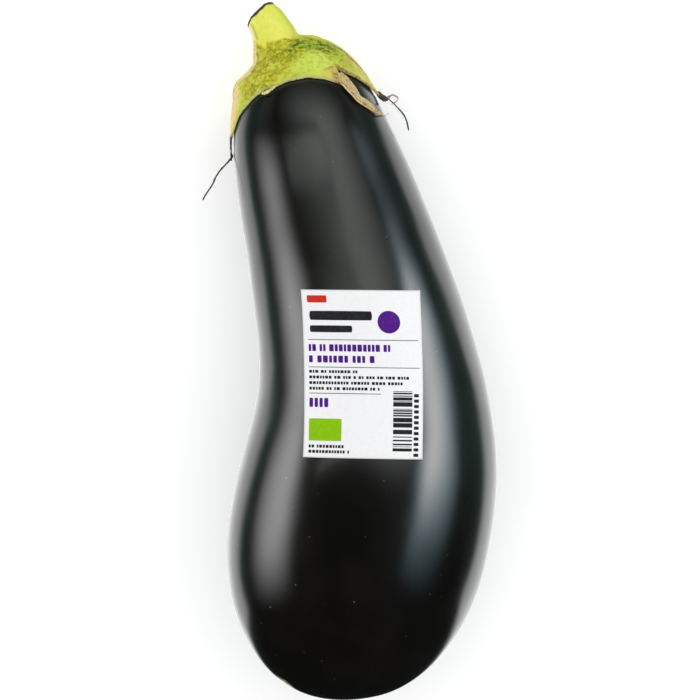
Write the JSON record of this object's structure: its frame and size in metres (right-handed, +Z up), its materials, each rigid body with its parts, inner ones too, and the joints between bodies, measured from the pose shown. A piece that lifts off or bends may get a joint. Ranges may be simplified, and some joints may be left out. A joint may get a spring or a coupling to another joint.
{
  "type": "eggplant",
  "caption": "Whole bent eggplant lying on its side, with a lobed green calyx, a short cut stem and a paper label on its upper face.",
  "frame": {"origin": "on the surface the fruit lies on, below the middle of the whole object's box", "axes": "+Y along the fruit towards its stem, +X to its right seen from above, +Z up, away from the surface"},
  "size_m": [0.0737, 0.1744, 0.0645],
  "materials": {
    "skin": "gloss",
    "calyx": "matte",
    "stem": "satin",
    "label": "satin"
  },
  "bodies": {
    "root": {"fruit": "skin", "calyx": "calyx", "stem": "stem", "label": "label"}
  },
  "joints": []
}
